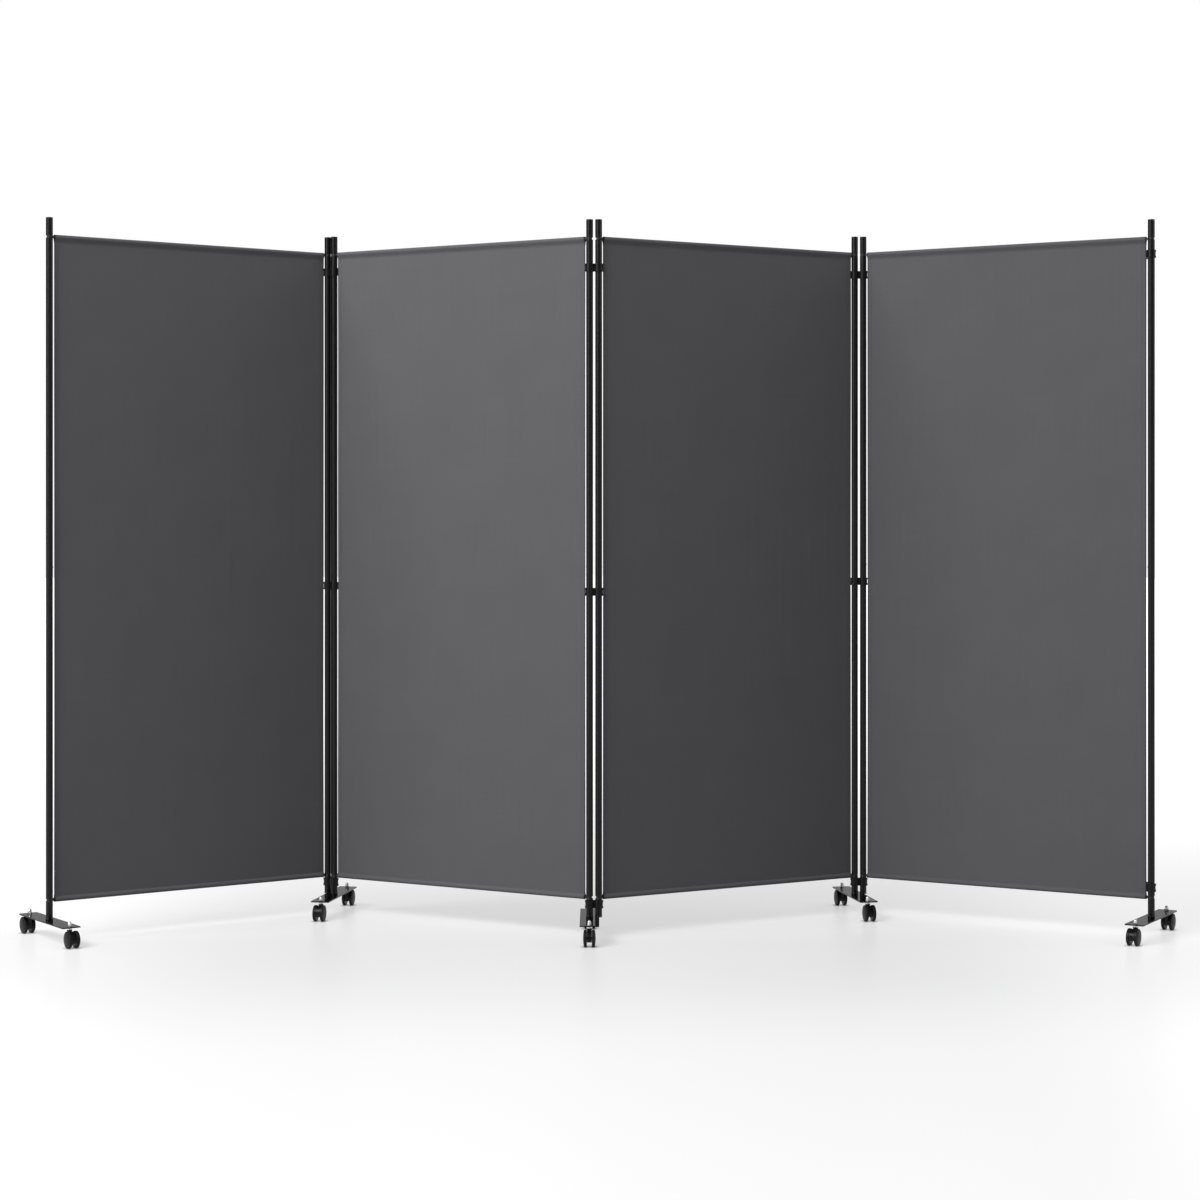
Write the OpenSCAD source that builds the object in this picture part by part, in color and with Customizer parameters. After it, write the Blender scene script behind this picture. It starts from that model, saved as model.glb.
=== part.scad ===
// Folding screen of four fabric panels on rolling bases.
// Each panel is a sheet of cloth held between two round posts by a thin rail at its top
// and its bottom. Neighbouring posts are linked by double ring clips, so the panels fold.
// Five flat bases carry the posts, each on two twin wheel casters.
// The origin is on the floor, below the middle of the whole screen. Its front faces -Y.

/* [Panels] */
// Width of a panel between the axes of its two posts
panel_w = 800; // [600:10:1200]
// Height of the posts above the bases
post_h = 1778; // [1500:10:2200]
// Plan angle of the first panel
first_turn = 35; // [20:1:50]
// Plan angle of the other panels, which zigzag
zigzag_turn = 30; // [15:1:45]

/* [Post tubes] */
// Outer diameter of the post tubes
tube_d = 17.5; // [16:0.5:22]
// Wall of the post tubes
tube_wall = 1; // [0.8:0.1:1.5]
// Height of the seam between the lower and the upper tubes, above the bases
seam_h = 870.5; // [700:0.5:1000]
// Length of the sleeve inside that seam
seam_sleeve_l = 45; // [35:1:80]
// Diameter of the necks that the rail eyes sit on
neck_d = 12.4; // [10:0.1:13]
// Wall of the necks
neck_wall = 1; // [0.8:0.1:1.5]
// Length of a neck inside the tube above it
neck_grip_l = 22; // [14:1:30]
// Height of the chamfers where the tubes meet an eye
shoulder_bevel = 0.8; // [0.3:0.1:1.2]

/* [Caps and buttons] */
// Height of the cap that shows on a post
cap_h = 3; // [2:0.5:6]
// Length of the cap inside the post
cap_plug_l = 12; // [8:1:20]
// Height of the collar at the foot of a post
foot_collar_h = 5; // [3:0.5:8]
// How far the foot collar stands out from the tube
foot_collar_lip = 0.4; // [0.2:0.1:1]
// Length of the foot plug inside the post
foot_plug_l = 26; // [18:1:32]
// Diameter of the snap button that locks the seam
button_d = 6; // [4:0.5:8]
// Height of the snap button above the seam
button_rise = 22; // [10:1:28]
// Thickness of the flange that holds the button in
button_flange_t = 1; // [0.8:0.1:1.5]

/* [Rails and fabric] */
// Height of the bottom rail above the bases
low_rail_h = 50.5; // [44:0.5:70]
// Distance of the top rail below the top of the posts
top_rail_drop = 49; // [40:1:80]
// Outer diameter of the rails
rail_d = 9; // [7:0.5:10]
// Wall of the rails
rail_wall = 1; // [0.8:0.1:1.5]
// Height of the eyes at the ends of the rails
eye_h = 5.5; // [4:0.5:6.5]
// Angle from the rail, round the back of the post, at which the opening of an eye starts
eye_open_from = 90; // [80:5:120]
// Angle from the rail, round the back of the post, at which the opening of an eye ends
eye_open_to = 190; // [150:5:195]
// Gap between a post and the edge of the fabric
side_gap = 4.2; // [3.9:0.1:12]
// Thickness of the fabric
cloth_t = 1.2; // [0.8:0.1:2]
// Width of the hems along the sides of the fabric
hem_w = 14; // [8:0.5:30]
// How far a hem stands out from each face of the fabric
hem_t = 0.4; // [0.2:0.1:1]
// Room between a rail and the pocket around it
pocket_room = 0.3; // [0.2:0.1:0.8]

/* [Ring clips] */
// Gap between two linked posts
post_gap = 5.5; // [5:0.1:12]
// Height of a clip
clip_h = 20; // [14:1:30]
// Wall of the clip's rings at the waist
clip_wall = 2.15; // [1.6:0.05:2.3]
// Height of the thicker band at each end of a clip
clip_band_h = 5; // [3:0.5:6]
// How far the bands stand out from the waist
clip_band_lip = 1; // [0.4:0.1:1.2]
// Thickness of the web between the two rings
clip_web_t = 11; // [6:0.5:14]

/* [Clip heights] */
// Top clip between panels 1 and 2, below the top of the posts
clip_12_top_drop = 95; // [70:1:300]
// Middle clip between panels 1 and 2, below the seam
clip_12_mid_drop = 36.5; // [15:0.5:200]
// Bottom clip between panels 1 and 2, above the bases
clip_12_low_rise = 32; // [17:0.5:33]
// Top clip between panels 2 and 3, below the top of the posts
clip_23_top_drop = 123; // [70:1:300]
// Middle clip between panels 2 and 3, below the seam
clip_23_mid_drop = 41.5; // [15:0.5:200]
// Bottom clip between panels 2 and 3, above the bases
clip_23_low_rise = 33; // [17:0.5:33]
// Top clip between panels 3 and 4, below the top of the posts
clip_34_top_drop = 103; // [70:1:300]
// Middle clip between panels 3 and 4, below the seam
clip_34_mid_drop = 24.5; // [15:0.5:200]
// Bottom clip between panels 3 and 4, above the bases
clip_34_low_rise = 33; // [17:0.5:33]
// Top spare clip on the last post, below the top of the post
end_clip_top_drop = 88; // [70:1:300]
// Bottom spare clip on the last post, above the base
end_clip_low_rise = 75; // [70:1:300]

/* [Bases] */
// Plan angle of the bases at the second and the fourth post group, away from straight back
inner_base_turn = 10; // [0:1:30]
// Length of a base plate
plate_l = 282; // [270:1:400]
// Width of a base plate
plate_w = 49; // [40:1:80]
// Thickness of a base plate
plate_t = 3; // [2:0.5:6]
// Radius of the corners of a base plate
plate_corner_r = 4; // [1:0.5:15]
// Height of the underside of the base plates above the floor
plate_clear_h = 49; // [47:0.5:60]
// Distance of the caster stems from the post
stem_out = 127; // [80:1:128]
// Thread diameter of the caster stems and the foot screws
thread_d = 6; // [5:0.5:6.5]
// Length of a stem above its plate
stem_top_l = 7.5; // [6:0.5:8]
// Width across the flats of the cap nuts
nut_flats = 10; // [9.5:0.5:12]
// Height of the six sided part of a cap nut
nut_hex_h = 5; // [4:0.5:6.5]
// Height of a whole cap nut
nut_h = 12; // [11:0.5:14]
// Diameter of the head of a foot screw
screw_head_d = 13; // [12:0.5:18]
// Height of the head of a foot screw
screw_head_h = 5; // [3:0.5:8]
// Length of a foot screw inside its post
screw_grip_l = 18; // [10:1:18]

/* [Casters] */
// Diameter of the wheels
wheel_d = 42.5; // [36:0.5:43]
// Width of a wheel at its rim
wheel_rim_w = 7.5; // [6:0.1:12]
// How far the outer face of a wheel bulges beyond its rim
wheel_dome = 2.25; // [1:0.05:4]
// Radius of the rounded edges of the tread
tread_round = 1.2; // [0.5:0.1:2]
// Thickness of the housing between the two wheels
housing_t = 11.9; // [10:0.1:18]
// How far the round part of the housing lies inside the rim of the wheels
housing_inset = 1.25; // [0.5:0.05:4]
// Height of the lower edge of the housing above the floor
housing_low_h = 13.7; // [10:0.1:16]
// Height of the stem's collar between the plate and the housing
stem_collar_h = 4.7; // [3:0.1:5.5]
// Diameter of the housing around the stem
boss_d = 13.4; // [12:0.1:16]
// Distance of the axle behind the stem
trail = 15; // [12:0.5:22]
// Diameter of the axle
axle_d = 5; // [4:0.5:6]
// Diameter of the round recess in the back of the housing
recess_d = 6; // [3:0.5:8]
// Depth of that recess
recess_depth = 2.5; // [1:0.5:6]
// Height of that recess above the axle
recess_rise = 4.5; // [3:0.5:6]

/* [Hidden] */
$fn = 48;

// Clearances. A running fit lets a pin or ring turn, and a face gap parts two bodies.
running_fit = 0.08;
sleeve_fit = 0.05;
face_gap = 0.3;
cut = 0.01;
nest = 1;

// Colours
black_tube = "#1b1b1d";
black_plastic = "#141416";
black_plate = "#101012";
black_wheel = "#18181a";
bright_steel = "silver";
rail_black = "#202022";
cloth_grey = "#4a494d";

// Radii and heights that follow from the sizes above. Heights h_ are above the bases.
deck_h = plate_clear_h + plate_t;
tube_r = tube_d / 2;
bore_r = tube_r - tube_wall;
neck_r = neck_d / 2;
eye_bore_r = neck_r + running_fit;
eye_r = tube_r - shoulder_bevel / 2;
sleeve_r = bore_r - sleeve_fit;
top_rail_h = post_h - top_rail_drop;
h_foot_tube = face_gap + foot_collar_h;
h_low_shoulder = low_rail_h - eye_h / 2;
h_lower_tube = low_rail_h + eye_h / 2;
h_top_shoulder = top_rail_h - eye_h / 2;
h_top_tube = top_rail_h + eye_h / 2;
h_top_end = post_h - cap_h;
button_h = seam_h + button_rise;
pocket_r = rail_d / 2 + pocket_room;
pocket_out_r = pocket_r + cloth_t;
fabric_inset = tube_r + side_gap;

// Ring clips
post_pitch = tube_d + post_gap;
ring_bore_r = tube_r + running_fit;
ring_r = ring_bore_r + clip_wall;
band_r = ring_r + clip_band_lip;

// Fasteners and casters
thread_r = thread_d / 2;
thread_bore_r = thread_r + running_fit;
nut_dome_r = nut_flats / 2 - 0.5;
axle_h = wheel_d / 2;
housing_r = wheel_d / 2 - housing_inset;
housing_top_h = plate_clear_h - stem_collar_h - face_gap;
wheel_in = housing_t / 2 + face_gap;
rim_out = wheel_in + wheel_rim_w;
dome_r = wheel_d / 2 - tread_round;
dome_ball_r = (dome_r * dome_r + wheel_dome * wheel_dome) / (2 * wheel_dome);
axle_bore_r = axle_d / 2 + running_fit;
stem_end_h = housing_low_h + 6;

// Plan of the screen, from the left post of panel 2. Angles are in plan from +X.
function along(a) = [cos(a), sin(a), 0];
panel_turns = [first_turn, -zigzag_turn, zigzag_turn, -zigzag_turn];
link_12_turn = 180 - first_turn;
link_23_turn = 0;
link_34_turn = 0;
end_link_turn = 90;
post_2l = [0, 0, 0];
post_2r = post_2l + panel_w * along(panel_turns[1]);
post_3l = post_2r + post_pitch * along(link_23_turn);
post_3r = post_3l + panel_w * along(panel_turns[2]);
post_4l = post_3r + post_pitch * along(link_34_turn);
post_4r = post_4l + panel_w * along(panel_turns[3]);
post_1r = post_2l + post_pitch * along(link_12_turn);
post_1l = post_1r - panel_w * along(panel_turns[0]);
left_posts = [post_1l, post_2l, post_3l, post_4l];
base_posts = [post_1l, post_2l, post_2r, post_3r, post_4r];
has_base = [[true, false], [true, true], [false, true], [false, true]];
base_turns = [90 + first_turn, 90 - inner_base_turn, 90, 90 + inner_base_turn, 90 - zigzag_turn];

// How far a base reaches from its post in plan, towards the angle a, as a turned
// rectangle with round corners or as a turned wheel, whichever reaches further.
function plate_reach(a) = (plate_l / 2 - plate_corner_r) * abs(cos(a))
    + (plate_w / 2 - plate_corner_r) * abs(sin(a)) + plate_corner_r;
function dome_at(r) = sqrt(dome_ball_r * dome_ball_r - r * r) - dome_ball_r + wheel_dome;
function wheel_reach(a) = max(
    (wheel_d / 2 - tread_round) * abs(cos(a)) + (rim_out - tread_round) * abs(sin(a)) + tread_round,
    max([for (i = [0:40])
        dome_r * i / 40 * abs(cos(a)) + (rim_out + dome_at(dome_r * i / 40)) * abs(sin(a))]));
function caster_reach(a) = (stem_out + trail) * abs(cos(a)) + wheel_reach(a);
function base_reach(a) = max(plate_reach(a), caster_reach(a));
high_x = max([for (b = [0:4]) base_posts[b][0] + base_reach(base_turns[b])]);
low_x = min([for (b = [0:4]) base_posts[b][0] - base_reach(base_turns[b])]);
high_y = max([for (b = [0:4]) base_posts[b][1] + base_reach(base_turns[b] - 90)]);
low_y = min([for (b = [0:4]) base_posts[b][1] - base_reach(base_turns[b] - 90)]);
middle = [(low_x + high_x) / 2, (low_y + high_y) / 2, 0];

// A body turned about +Z from its outline of radius and height pairs.
module turned(outline) {
    rotate_extrude() polygon(outline);
}

// Puts children on panel p, with its left post at the origin and +X along the panel.
// Height zero is the top of the bases.
module on_panel(p) {
    translate(left_posts[p - 1] - middle + [0, 0, deck_h])
        rotate([0, 0, panel_turns[p - 1]])
            children();
}

// Draws children at the left post of a panel and, facing the other way, at the right one.
// Their $right is 0 at the left post and 1 at the right one.
module at_both_posts() {
    for ($right = [0, 1])
        translate([$right * panel_w, 0, 0])
            rotate([0, 0, $right * 180])
                children();
}

// Hole of the snap button through one side of a post, towards the fabric.
module button_hole() {
    translate([0, 0, button_h])
        rotate([0, 90, 0])
            cylinder(r = button_d / 2 + sleeve_fit, h = tube_d);
}

// Tube whose upper end is drawn in to a neck that reaches into the tube above.
module necked_tube(low, shoulder) {
    neck_end = shoulder + eye_h + neck_grip_l;
    turned([
        [bore_r, low],
        [tube_r - shoulder_bevel / 2, low],
        [tube_r, low + shoulder_bevel],
        [tube_r, shoulder - shoulder_bevel],
        [tube_r - shoulder_bevel / 2, shoulder],
        [neck_r, shoulder],
        [neck_r, neck_end],
        [neck_r - neck_wall, neck_end],
        [neck_r - neck_wall, shoulder - tube_wall],
        [bore_r, shoulder - tube_wall - nest]
    ]);
}

// Short tube between the foot collar and the bottom rail.
module foot_tube() {
    necked_tube(h_foot_tube, h_low_shoulder);
}

// Lower tube: a socket at its foot and a sleeve into the upper tube at its top.
module lower_tube() {
    difference() {
        turned([
            [eye_bore_r, h_lower_tube],
            [tube_r - shoulder_bevel / 2, h_lower_tube],
            [tube_r, h_lower_tube + shoulder_bevel],
            [tube_r, seam_h],
            [sleeve_r, seam_h],
            [sleeve_r, seam_h + seam_sleeve_l],
            [sleeve_r - tube_wall, seam_h + seam_sleeve_l],
            [sleeve_r - tube_wall, seam_h - tube_wall],
            [bore_r, seam_h - tube_wall - nest],
            [bore_r, h_lower_tube + neck_grip_l + nest],
            [eye_bore_r, h_lower_tube + neck_grip_l + nest]
        ]);
        button_hole();
    }
}

// Upper tube between the seam and the top rail.
module upper_tube() {
    difference() {
        necked_tube(seam_h, h_top_shoulder);
        button_hole();
    }
}

// Short tube between the top rail and the cap.
module top_tube() {
    turned([
        [eye_bore_r, h_top_tube],
        [tube_r - shoulder_bevel / 2, h_top_tube],
        [tube_r, h_top_tube + shoulder_bevel],
        [tube_r, h_top_end],
        [bore_r, h_top_end],
        [bore_r, h_top_tube + neck_grip_l + nest],
        [eye_bore_r, h_top_tube + neck_grip_l + nest]
    ]);
}

// Cap with a rounded edge and a plug inside the post.
module post_cap() {
    edge = cap_h / 3;
    union() {
        translate([0, 0, h_top_end - cap_plug_l])
            cylinder(r = sleeve_r, h = cap_plug_l + cut);
        translate([0, 0, h_top_end])
            cylinder(r = tube_r, h = cap_h - edge);
        translate([0, 0, post_h - edge])
            cylinder(r = tube_r - edge, h = edge);
        translate([0, 0, post_h - edge])
            rotate_extrude()
                intersection() {
                    translate([tube_r - edge, 0])
                        circle(r = edge);
                    translate([tube_r - edge - cut, -cut])
                        square([edge + 2 * cut, edge + 2 * cut]);
                }
    }
}

// Plug with a collar below the post. On a post with a base, its bore takes the foot screw.
module foot_plug(bored) {
    difference() {
        union() {
            translate([0, 0, face_gap])
                cylinder(r = tube_r + foot_collar_lip, h = foot_collar_h);
            translate([0, 0, h_foot_tube - cut])
                cylinder(r = sleeve_r, h = foot_plug_l + cut);
        }
        if (bored)
            translate([0, 0, -cut])
                cylinder(r = thread_bore_r, h = h_foot_tube + foot_plug_l + 2 * cut);
    }
}

// Snap button through both tubes at the seam, on the side of the fabric.
module snap_button() {
    flange_r = button_d / 2 + 1.2;
    inner_r = sleeve_r - tube_wall;
    seat = sqrt(inner_r * inner_r - flange_r * flange_r);
    translate([0, 0, button_h])
        rotate([0, 90, 0])
            union() {
                translate([0, 0, seat - button_flange_t])
                    cylinder(r = flange_r, h = button_flange_t);
                translate([0, 0, seat - cut])
                    cylinder(r = button_d / 2, h = tube_r - seat - button_d / 4);
                translate([0, 0, tube_r - button_d / 4])
                    sphere(r = button_d / 2 - cut);
            }
}

// Outline of the opening of an eye, where the side is 1 at a left post and -1 at a right one.
function eye_opening(side) = concat([[0, 0]], [for (i = [0:2])
    let (a = eye_open_from + (eye_open_to - eye_open_from) * i / 2)
        tube_d * [side * cos(a), sin(a)]]);

// Rail along a panel with an eye at each end that hooks round a neck and is open at its back.
module rail(h) {
    tongue_w = rail_d * 0.8;
    tongue_l = fabric_inset - eye_bore_r + 6;
    difference() {
        union() {
            for (x = [0, panel_w])
                translate([x, 0, h - eye_h / 2])
                    cylinder(r = eye_r, h = eye_h);
            for (s = [0, 1])
                translate([s * panel_w, 0, h])
                    rotate([0, 0, s * 180])
                        translate([eye_bore_r, -tongue_w / 2, -eye_h / 2])
                            cube([tongue_l, tongue_w, eye_h]);
            translate([fabric_inset + 2, 0, h])
                rotate([0, 90, 0])
                    cylinder(r = rail_d / 2, h = panel_w - 2 * fabric_inset - 4);
        }
        for (x = [0, panel_w])
            translate([x, 0, h - eye_h])
                cylinder(r = eye_bore_r, h = 2 * eye_h);
        for (s = [0, 1])
            translate([s * panel_w, 0, h - eye_h])
                linear_extrude(height = 2 * eye_h)
                    polygon(eye_opening(1 - 2 * s));
        translate([fabric_inset + 12, 0, h])
            rotate([0, 90, 0])
                cylinder(r = rail_d / 2 - rail_wall, h = panel_w - 2 * fabric_inset - 24);
    }
}

// Sheet of fabric with hemmed sides and a round pocket along its top and its bottom.
module fabric() {
    fabric_w = panel_w - 2 * fabric_inset;
    translate([fabric_inset, 0, 0])
        rotate([90, 0, 90])
            difference() {
                union() {
                    sheet_between(cloth_t / 2, 0, fabric_w);
                    for (x = [0, fabric_w - hem_w])
                        sheet_between(cloth_t / 2 + hem_t, x, hem_w);
                    for (h = [low_rail_h, top_rail_h])
                        translate([0, h, 0])
                            cylinder(r = pocket_out_r, h = fabric_w);
                }
                for (h = [low_rail_h, top_rail_h])
                    translate([0, h, -fabric_w / 2])
                        cylinder(r = pocket_r, h = 2 * fabric_w);
            }
}

// Flat sheet between the rails, from one distance along the panel over a width.
module sheet_between(half_t, start, width) {
    translate([-half_t, low_rail_h, start])
        cube([2 * half_t, top_rail_h - low_rail_h, width]);
}

// Double ring clip between a post at the origin and one a post pitch along +X.
module ring_clip(h) {
    translate([0, 0, h - clip_h / 2])
        difference() {
            union() {
                for (x = [0, post_pitch])
                    translate([x, 0, 0]) {
                        cylinder(r = ring_r, h = clip_h);
                        cylinder(r = band_r, h = clip_band_h);
                        translate([0, 0, clip_h - clip_band_h])
                            cylinder(r = band_r, h = clip_band_h);
                    }
                translate([tube_r, -clip_web_t / 2, 0])
                    cube([post_gap, clip_web_t, clip_h]);
            }
            for (x = [0, post_pitch])
                translate([x, 0, -clip_h / 2])
                    cylinder(r = ring_bore_r, h = 2 * clip_h);
        }
}

// Puts clips on a link that starts at a post and turns to an angle.
module on_link(post, turn, heights) {
    color(black_plastic)
        for (h = heights)
            translate(post - middle + [0, 0, deck_h])
                rotate([0, 0, turn])
                    ring_clip(h);
}

// Puts children on the floor below a base's post, along the base.
module on_base(b) {
    translate(base_posts[b - 1] - middle)
        rotate([0, 0, base_turns[b - 1]])
            children();
}

// Flat plate with round corners and holes for the foot screw and the two stems.
module plate_body() {
    inner_l = plate_l - 2 * plate_corner_r;
    inner_w = plate_w - 2 * plate_corner_r;
    difference() {
        translate([0, 0, plate_clear_h])
            linear_extrude(height = plate_t)
                union() {
                    square([plate_l, inner_w], center = true);
                    square([inner_l, plate_w], center = true);
                    for (x = [-1, 1], y = [-1, 1])
                        translate([x * inner_l / 2, y * inner_w / 2])
                            circle(r = plate_corner_r);
                }
        for (x = [-stem_out, 0, stem_out])
            translate([x, 0, plate_clear_h - plate_t])
                cylinder(r = thread_bore_r, h = 3 * plate_t);
    }
}

// Cap nut on top of a plate, with a round blind end.
module cap_nut() {
    difference() {
        union() {
            intersection() {
                cylinder(r = nut_flats / 2 / cos(30), h = nut_hex_h, $fn = 6);
                cylinder(r1 = nut_flats / 2 + nut_hex_h, r2 = nut_flats / 2, h = nut_hex_h);
            }
            cylinder(r = nut_dome_r, h = nut_h - nut_dome_r);
            translate([0, 0, nut_h - nut_dome_r])
                sphere(r = nut_dome_r);
        }
        translate([0, 0, -nut_dome_r])
            cube([4 * nut_dome_r, 4 * nut_dome_r, 2 * nut_dome_r], center = true);
        translate([0, 0, -cut])
            cylinder(r = thread_r + sleeve_fit, h = stem_top_l + nest);
    }
}

// Stem with a round collar that bears on the underside of the plate.
module caster_stem() {
    union() {
        translate([0, 0, stem_end_h])
            cylinder(r = thread_r, h = deck_h + stem_top_l - stem_end_h);
        translate([0, 0, housing_top_h + face_gap])
            cylinder(r = boss_d / 2, h = stem_collar_h);
    }
}

// Foot screw from below the plate into the post.
module foot_screw() {
    union() {
        translate([0, 0, plate_clear_h - screw_head_h])
            cylinder(r = screw_head_d / 2, h = screw_head_h);
        translate([0, 0, plate_clear_h - cut])
            cylinder(r = thread_r, h = plate_t + face_gap + screw_grip_l + cut);
    }
}

module base_fasteners() {
    for (x = [-stem_out, stem_out])
        translate([x, 0, 0]) {
            caster_stem();
            translate([0, 0, deck_h])
                cap_nut();
        }
    foot_screw();
}

// Puts children at a caster's stem, trailing away from the post.
module on_caster(b, front) {
    on_base(b)
        rotate([0, 0, front ? 180 : 0])
            translate([stem_out, 0, 0])
                children();
}

// Housing between the two wheels, with bores for the stem and the axle.
module caster_housing() {
    difference() {
        union() {
            intersection() {
                translate([trail, housing_t / 2, axle_h])
                    rotate([90, 0, 0])
                        cylinder(r = housing_r, h = housing_t);
                translate([trail - 2 * housing_r, -housing_t, housing_low_h])
                    cube([4 * housing_r, 2 * housing_t, 4 * housing_r]);
            }
            translate([0, 0, housing_low_h])
                cylinder(r = housing_t / 2, h = housing_top_h - housing_low_h);
            translate([0, 0, wheel_d - tread_round])
                cylinder(r = boss_d / 2, h = housing_top_h - wheel_d + tread_round);
        }
        translate([0, 0, stem_end_h - nest])
            cylinder(r = thread_bore_r, h = housing_top_h);
        translate([trail, housing_t, axle_h])
            rotate([90, 0, 0])
                cylinder(r = axle_bore_r, h = 2 * housing_t);
        translate([trail + housing_r - recess_depth, 0, axle_h + recess_rise])
            rotate([0, 90, 0])
                cylinder(r = recess_d / 2, h = housing_r);
    }
}

// One wheel about +Z: flat inside, a round edged tread and a domed outer face.
module wheel() {
    rotate_extrude()
        union() {
            translate([0, wheel_in])
                square([wheel_d / 2 - tread_round, wheel_rim_w]);
            translate([0, wheel_in + tread_round])
                square([wheel_d / 2, wheel_rim_w - 2 * tread_round]);
            for (y = [wheel_in + tread_round, rim_out - tread_round])
                translate([wheel_d / 2 - tread_round, y])
                    circle(r = tread_round);
            intersection() {
                translate([0, rim_out + wheel_dome - dome_ball_r])
                    circle(r = dome_ball_r, $fn = 400);
                translate([0, rim_out - cut])
                    square([dome_r, 2 * wheel_dome]);
            }
        }
}

// Two wheels on one axle.
module wheel_pair() {
    translate([trail, 0, axle_h])
        rotate([90, 0, 0])
            union() {
                wheel();
                mirror([0, 0, 1])
                    wheel();
                cylinder(r = axle_d / 2, h = 2 * wheel_in + 2 * nest, center = true);
            }
}

// Panel pieces
module panel_fabric(p) { color(cloth_grey) on_panel(p) fabric(); }
module panel_rails(p) {
    color(rail_black) on_panel(p) {
        rail(low_rail_h);
        rail(top_rail_h);
    }
}
module panel_upper_tubes(p) { color(black_tube) on_panel(p) at_both_posts() upper_tube(); }
module panel_lower_tubes(p) { color(black_tube) on_panel(p) at_both_posts() lower_tube(); }
module panel_end_tubes(p) {
    color(black_tube) on_panel(p) at_both_posts() {
        foot_tube();
        top_tube();
    }
}
module panel_plugs(p) {
    color(black_plastic) on_panel(p) at_both_posts() {
        post_cap();
        foot_plug(has_base[p - 1][$right]);
        snap_button();
    }
}

// Clips
module clips_12() {
    on_link(post_2l, link_12_turn,
        [post_h - clip_12_top_drop, seam_h - clip_12_mid_drop, clip_12_low_rise]);
}
module clips_23() {
    on_link(post_2r, link_23_turn,
        [post_h - clip_23_top_drop, seam_h - clip_23_mid_drop, clip_23_low_rise]);
}
module clips_34() {
    on_link(post_3r, link_34_turn,
        [post_h - clip_34_top_drop, seam_h - clip_34_mid_drop, clip_34_low_rise]);
}
module end_clip_top() { on_link(post_4r, end_link_turn, [post_h - end_clip_top_drop]); }
module end_clip_bottom() { on_link(post_4r, end_link_turn, [end_clip_low_rise]); }

// Bases and casters
module base_plate(b) { color(black_plate) on_base(b) plate_body(); }
module base_screws(b) { color(bright_steel) on_base(b) base_fasteners(); }
module housing(b, front) { color(black_plastic) on_caster(b, front) caster_housing(); }
module wheels(b, front) { color(black_wheel) on_caster(b, front) wheel_pair(); }

panel_fabric(1);  // panel_1_fabric
panel_rails(1);  // panel_1_rails
panel_upper_tubes(1);  // panel_1_upper_tubes
panel_lower_tubes(1);  // panel_1_lower_tubes
panel_end_tubes(1);  // panel_1_end_tubes
panel_plugs(1);  // panel_1_plugs
panel_fabric(2);  // panel_2_fabric
panel_rails(2);  // panel_2_rails
panel_upper_tubes(2);  // panel_2_upper_tubes
panel_lower_tubes(2);  // panel_2_lower_tubes
panel_end_tubes(2);  // panel_2_end_tubes
panel_plugs(2);  // panel_2_plugs
panel_fabric(3);  // panel_3_fabric
panel_rails(3);  // panel_3_rails
panel_upper_tubes(3);  // panel_3_upper_tubes
panel_lower_tubes(3);  // panel_3_lower_tubes
panel_end_tubes(3);  // panel_3_end_tubes
panel_plugs(3);  // panel_3_plugs
panel_fabric(4);  // panel_4_fabric
panel_rails(4);  // panel_4_rails
panel_upper_tubes(4);  // panel_4_upper_tubes
panel_lower_tubes(4);  // panel_4_lower_tubes
panel_end_tubes(4);  // panel_4_end_tubes
panel_plugs(4);  // panel_4_plugs
clips_12();
clips_23();
clips_34();
end_clip_top();
end_clip_bottom();
base_plate(1);  // base_1_plate
base_screws(1);  // base_1_fasteners
base_plate(2);  // base_2_plate
base_screws(2);  // base_2_fasteners
base_plate(3);  // base_3_plate
base_screws(3);  // base_3_fasteners
base_plate(4);  // base_4_plate
base_screws(4);  // base_4_fasteners
base_plate(5);  // base_5_plate
base_screws(5);  // base_5_fasteners
housing(1, true);  // caster_1_front_housing
wheels(1, true);  // caster_1_front_wheels
housing(1, false);  // caster_1_back_housing
wheels(1, false);  // caster_1_back_wheels
housing(2, true);  // caster_2_front_housing
wheels(2, true);  // caster_2_front_wheels
housing(2, false);  // caster_2_back_housing
wheels(2, false);  // caster_2_back_wheels
housing(3, true);  // caster_3_front_housing
wheels(3, true);  // caster_3_front_wheels
housing(3, false);  // caster_3_back_housing
wheels(3, false);  // caster_3_back_wheels
housing(4, true);  // caster_4_front_housing
wheels(4, true);  // caster_4_front_wheels
housing(4, false);  // caster_4_back_housing
wheels(4, false);  // caster_4_back_wheels
housing(5, true);  // caster_5_front_housing
wheels(5, true);  // caster_5_front_wheels
housing(5, false);  // caster_5_back_housing
wheels(5, false);  // caster_5_back_wheels
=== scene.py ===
"""Looks, light and camera of a folding room divider on casters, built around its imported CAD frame.

Lengths are in metres in the frame of the CAD model: +Z is up, -Y faces the camera. Each panel is
worked out in its own axes first, with X along the panel from its left post, Y across the cloth
(negative on the face that the camera sees) and Z above the bases.
"""

import logging
import math
from dataclasses import dataclass, field
from enum import Enum

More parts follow.
